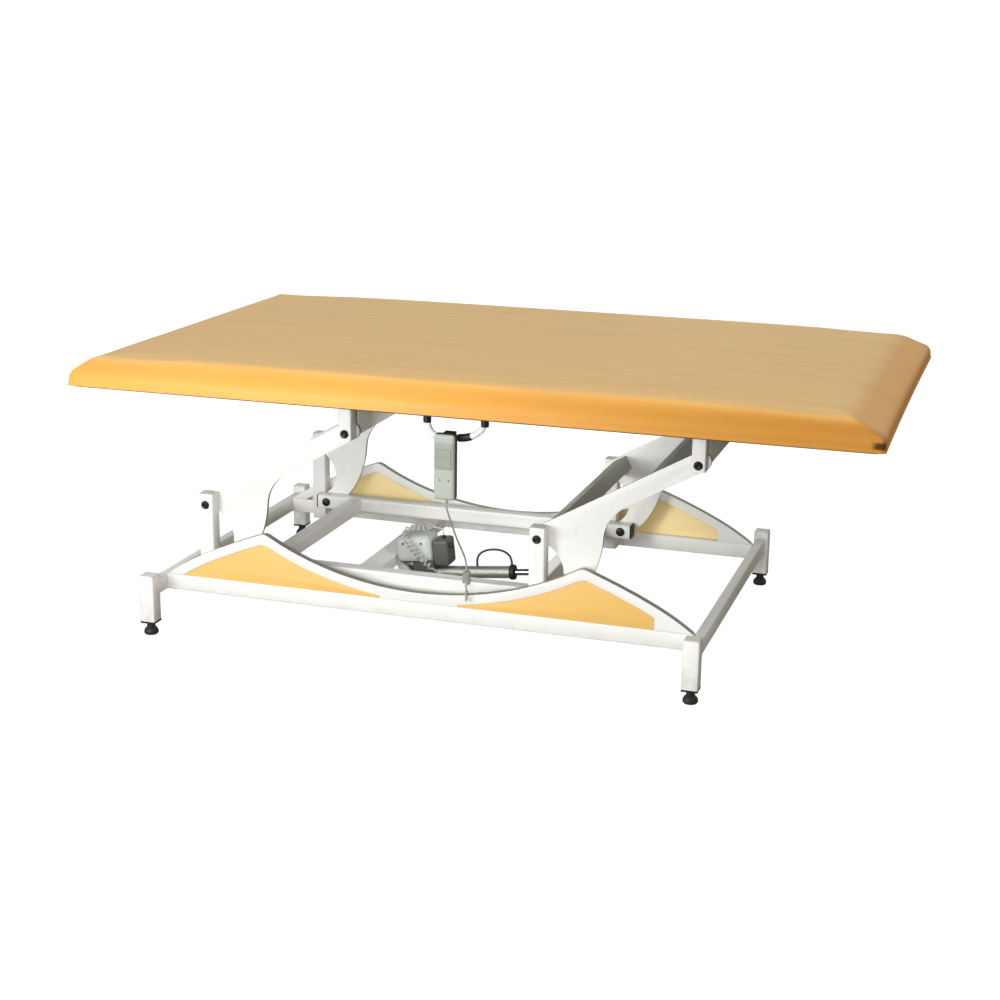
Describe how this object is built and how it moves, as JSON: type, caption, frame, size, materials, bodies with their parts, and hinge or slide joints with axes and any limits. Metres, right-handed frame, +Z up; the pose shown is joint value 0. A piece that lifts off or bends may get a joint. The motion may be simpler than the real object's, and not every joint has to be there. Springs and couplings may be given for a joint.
{
  "type": "bobath table",
  "caption": "Wide padded therapy table on a low frame; parallel lift arms and an electric actuator raise the top, with a corded handset hanging at the side.",
  "frame": {"origin": "on the floor under the middle of the padded top, at rest", "axes": "+X along the top's length, to the right seen from the handset side; +Z up; -Y is the handset side"},
  "size_m": [1.9998, 1.1998, 0.7575],
  "materials": {
    "white_paint": "satin",
    "vinyl_cover": "satin",
    "yellow_panel": "satin",
    "board": "matte",
    "black_hardware": "satin",
    "foot_plastic": "satin",
    "black_plastic": "satin",
    "grey_plastic": "satin",
    "handset_plastic": "satin",
    "button_plastic": "matte",
    "tube_alloy": "satin",
    "rod_steel": "polished",
    "cord_cover": "satin",
    "lead_cover": "satin"
  },
  "bodies": {
    "base": {"end_rail_left": "white_paint", "end_rail_right": "white_paint", "side_rail_front": "white_paint", "side_rail_rear": "white_paint", "side_band_front": "white_paint", "side_band_rear": "white_paint", "actuator_beam": "white_paint", "motor_cord": "cord_cover", "leg_front_left": "white_paint", "leg_front_right": "white_paint", "leg_rear_left": "white_paint", "leg_rear_right": "white_paint", "infill_panel_front_left": "yellow_panel", "infill_panel_front_right": "yellow_panel", "infill_panel_rear_left": "yellow_panel", "infill_panel_rear_right": "yellow_panel", "post_front_left": "white_paint", "post_front_right": "white_paint", "post_rear_left": "white_paint", "post_rear_right": "white_paint", "lower_pivot_bolt_front_left": "black_hardware", "lower_pivot_bolt_front_right": "black_hardware", "lower_pivot_bolt_rear_left": "black_hardware", "lower_pivot_bolt_rear_right": "black_hardware"},
    "left_arm_front": {"lift_arm_front_left": "white_paint"},
    "left_arm_rear": {"lift_arm_rear_left": "white_paint"},
    "right_arms": {"lift_arm_front_right": "white_paint", "lift_arm_rear_right": "white_paint", "arm_cross_tube_lower": "white_paint", "arm_cross_tube_upper": "white_paint"},
    "tie_frame": {"tie_bar_front": "white_paint", "tie_bar_rear": "white_paint", "tie_cross_tube_left": "white_paint", "tie_cross_tube_right": "white_paint"},
    "actuator": {"actuator_housing": "grey_plastic", "actuator_cap": "black_plastic", "actuator_tube": "tube_alloy", "actuator_lead": "lead_cover"},
    "rod": {"actuator_rod": "rod_steel"},
    "top": {"top_board": "board", "top_cushion": "vinyl_cover", "top_beam_left": "white_paint", "top_beam_right": "white_paint", "handset_loop": "white_paint", "hanger_front_left": "white_paint", "hanger_front_right": "white_paint", "hanger_rear_left": "white_paint", "hanger_rear_right": "white_paint", "upper_pivot_bolt_front_left": "black_hardware", "upper_pivot_bolt_front_right": "black_hardware", "upper_pivot_bolt_rear_left": "black_hardware", "upper_pivot_bolt_rear_right": "black_hardware"},
    "handset": {"handset": "handset_plastic", "handset_cord": "cord_cover"},
    "button_up": {"button_up": "button_plastic"},
    "button_down": {"button_down": "button_plastic"},
    "foot_front_left": {"levelling_foot_front_left": "foot_plastic"},
    "foot_front_right": {"levelling_foot_front_right": "foot_plastic"},
    "foot_rear_left": {"levelling_foot_rear_left": "foot_plastic"},
    "foot_rear_right": {"levelling_foot_rear_right": "foot_plastic"}
  },
  "joints": [
    {"name": "lift", "type": "hinge", "parent": "base", "child": "right_arms", "pos_m": [0.161, 0, 0.336], "axis": [0, -1, 0], "range_deg": [-26, 27], "deforming": ["handset_cord", "motor_cord"]},
    {"name": "left_arm_front_turn", "type": "hinge", "parent": "base", "child": "left_arm_front", "pos_m": [-0.74, 0, 0.336], "axis": [0, -1, 0], "range_deg": [-26.5, 27.5]},
    {"name": "left_arm_rear_turn", "type": "hinge", "parent": "base", "child": "left_arm_rear", "pos_m": [-0.74, 0, 0.336], "axis": [0, -1, 0], "range_deg": [-26.5, 27.5]},
    {"name": "tie_frame_turn", "type": "hinge", "parent": "right_arms", "child": "tie_frame", "pos_m": [0.206, 0, 0.17], "axis": [0, -1, 0], "range_deg": [-27.5, 26.5]},
    {"name": "top_turn", "type": "hinge", "parent": "right_arms", "child": "top", "pos_m": [0.5544, 0, 0.55858], "axis": [0, -1, 0], "range_deg": [-27.5, 26.5]},
    {"name": "actuator_swing", "type": "hinge", "parent": "base", "child": "actuator", "pos_m": [-0.32, 0, 0.083], "axis": [0, -1, 0], "range_deg": [-2, 2]},
    {"name": "rod_slide", "type": "slide", "parent": "actuator", "child": "rod", "axis": [0.9943, 0, 0.1065], "range_m": [-0.076, 0.079]},
    {"name": "handset_lift", "type": "slide", "parent": "top", "child": "handset", "axis": [0, 0, 1], "range_m": [0, 0.03]},
    {"name": "button_up_press", "type": "slide", "parent": "handset", "child": "button_up", "axis": [0, 1, 0], "range_m": [0, 0.0015], "stiffness_N_per_m": 900},
    {"name": "button_down_press", "type": "slide", "parent": "handset", "child": "button_down", "axis": [0, 1, 0], "range_m": [0, 0.0015], "stiffness_N_per_m": 900},
    {"name": "foot_front_left_level", "type": "slide", "parent": "base", "child": "foot_front_left", "axis": [0, 0, 1], "range_m": [-0.02, 0]},
    {"name": "foot_front_right_level", "type": "slide", "parent": "base", "child": "foot_front_right", "axis": [0, 0, 1], "range_m": [-0.02, 0]},
    {"name": "foot_rear_left_level", "type": "slide", "parent": "base", "child": "foot_rear_left", "axis": [0, 0, 1], "range_m": [-0.02, 0]},
    {"name": "foot_rear_right_level", "type": "slide", "parent": "base", "child": "foot_rear_right", "axis": [0, 0, 1], "range_m": [-0.02, 0]}
  ],
  "couplings": [
    {"joint": "left_arm_front_turn", "follows": "lift", "ratio": 1},
    {"joint": "left_arm_rear_turn", "follows": "lift", "ratio": 1},
    {"joint": "tie_frame_turn", "follows": "lift", "ratio": -1},
    {"joint": "top_turn", "follows": "lift", "ratio": -1},
    {"joint": "actuator_swing", "follows": "lift", "ratio": 0.061},
    {"joint": "rod_slide", "follows": "lift", "m_per_rad": 0.1645}
  ]
}
